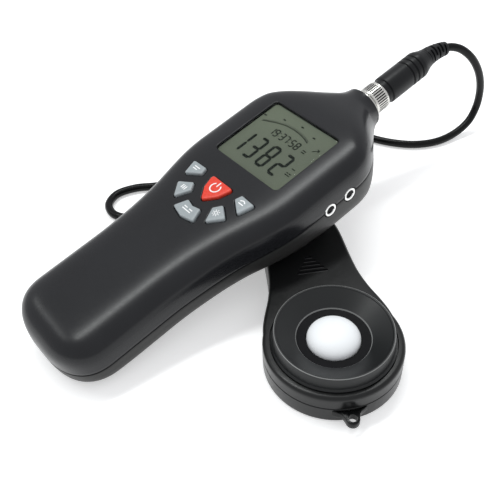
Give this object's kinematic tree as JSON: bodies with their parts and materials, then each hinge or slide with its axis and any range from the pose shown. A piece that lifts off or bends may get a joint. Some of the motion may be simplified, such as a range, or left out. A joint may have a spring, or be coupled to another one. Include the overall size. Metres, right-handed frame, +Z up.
{
  "type": "handheld light meter",
  "caption": "Handheld light meter with a display and press keys, propped on a round light probe that a round-plug lead joins to its socket.",
  "frame": {"origin": "middle of the box on the ground, lead and plug left out", "axes": "+Y from the meter's bottom end towards its socket, level; +Z up; +X towards the probe"},
  "size_m": [0.197, 0.28, 0.0632],
  "materials": {
    "case_black": "satin, fine grain",
    "cone_black": "semi-gloss",
    "plug_black": "smooth satin",
    "key_grey": "gloss",
    "key_red": "gloss",
    "nickel": "nickel plated",
    "steel": "plain",
    "brass": "turned",
    "window": "clear, gloss",
    "lcd": "greenish grey",
    "white_plastic": "plain",
    "dome_white": "milky, translucent",
    "filter_glass": "clear",
    "board": "solder mask",
    "silicone": "matte",
    "lead_rubber": "smooth",
    "inner_black": "plain",
    "battery": "printed jacket, plain",
    "cell": "polished"
  },
  "bodies": {
    "meter": {"front_case": "case_black", "rear_case": "case_black", "sensor_top_cover": "case_black", "sensor_bottom_cover": "case_black", "lanyard_lug": "case_black", "light_cone": "cone_black", "sensor_strain_relief": "plug_black", "socket_body": "nickel", "socket_washer": "nickel", "jack_bush_1": "nickel", "jack_bush_2": "nickel", "case_screw_1": "steel", "case_screw_2": "steel", "case_screw_3": "steel", "case_screw_4": "steel", "sensor_screw_1": "steel", "sensor_screw_2": "steel", "sensor_screw_3": "steel", "tripod_insert": "brass", "display_window": "window", "lcd_panel": "lcd", "backlight_panel": "white_plastic", "lcd_frame": "white_plastic", "diffuser_dome": "dome_white", "colour_filter": "filter_glass", "main_board": "board", "sensor_board": "board", "keypad_membrane": "silicone", "sensor_lead_coil": "lead_rubber", "sensor_lead_return": "lead_rubber", "zebra_strip": "inner_black", "buzzer": "inner_black", "battery_snap": "inner_black", "jack_body_1": "inner_black", "jack_body_2": "inner_black", "socket_insert": "inner_black", "battery": "battery", "photodiode": "cell"},
    "plug": {"plug_body": "plug_black", "plug_sleeve": "nickel", "plug_insert": "inner_black", "plug_strain_relief": "plug_black", "sensor_lead_loop": "lead_rubber"},
    "ring": {"locking_ring": "nickel"},
    "door": {"battery_door": "case_black", "battery_door_screw": "steel"},
    "power_button_body": {"power_button": "key_red"},
    "key_right_upper_body": {"key_right_upper": "key_grey"},
    "key_right_lower_body": {"key_right_lower": "key_grey"},
    "key_bottom_body": {"key_bottom": "key_grey"},
    "key_left_lower_body": {"key_left_lower": "key_grey"},
    "key_left_upper_body": {"key_left_upper": "key_grey"}
  },
  "joints": [
    {"name": "plug_pull", "type": "slide", "parent": "meter", "child": "plug", "axis": [0, 0.9776, 0.2103], "range_m": [0, 0.016]},
    {"name": "ring_turn", "type": "hinge", "parent": "plug", "child": "ring", "pos_m": [-0.03705, 0.09458, 0.04857], "axis": [0, 0.9776, 0.2103], "continuous": true},
    {"name": "door_swing", "type": "hinge", "parent": "meter", "child": "door", "pos_m": [-0.03705, -0.02742, 0.01086], "axis": [1, 0, 0], "range_deg": [0, 35]},
    {"name": "power_press", "type": "slide", "parent": "meter", "child": "power_button_body", "axis": [0, 0.2103, -0.9776], "range_m": [0, 0.0008], "stiffness_N_per_m": 2000},
    {"name": "right_upper_press", "type": "slide", "parent": "meter", "child": "key_right_upper_body", "axis": [0, 0.2103, -0.9776], "range_m": [0, 0.0008], "stiffness_N_per_m": 2000},
    {"name": "right_lower_press", "type": "slide", "parent": "meter", "child": "key_right_lower_body", "axis": [0, 0.2103, -0.9776], "range_m": [0, 0.0008], "stiffness_N_per_m": 2000},
    {"name": "bottom_press", "type": "slide", "parent": "meter", "child": "key_bottom_body", "axis": [0, 0.2103, -0.9776], "range_m": [0, 0.0008], "stiffness_N_per_m": 2000},
    {"name": "left_lower_press", "type": "slide", "parent": "meter", "child": "key_left_lower_body", "axis": [0, 0.2103, -0.9776], "range_m": [0, 0.0008], "stiffness_N_per_m": 2000},
    {"name": "left_upper_press", "type": "slide", "parent": "meter", "child": "key_left_upper_body", "axis": [0, 0.2103, -0.9776], "range_m": [0, 0.0008], "stiffness_N_per_m": 2000}
  ]
}
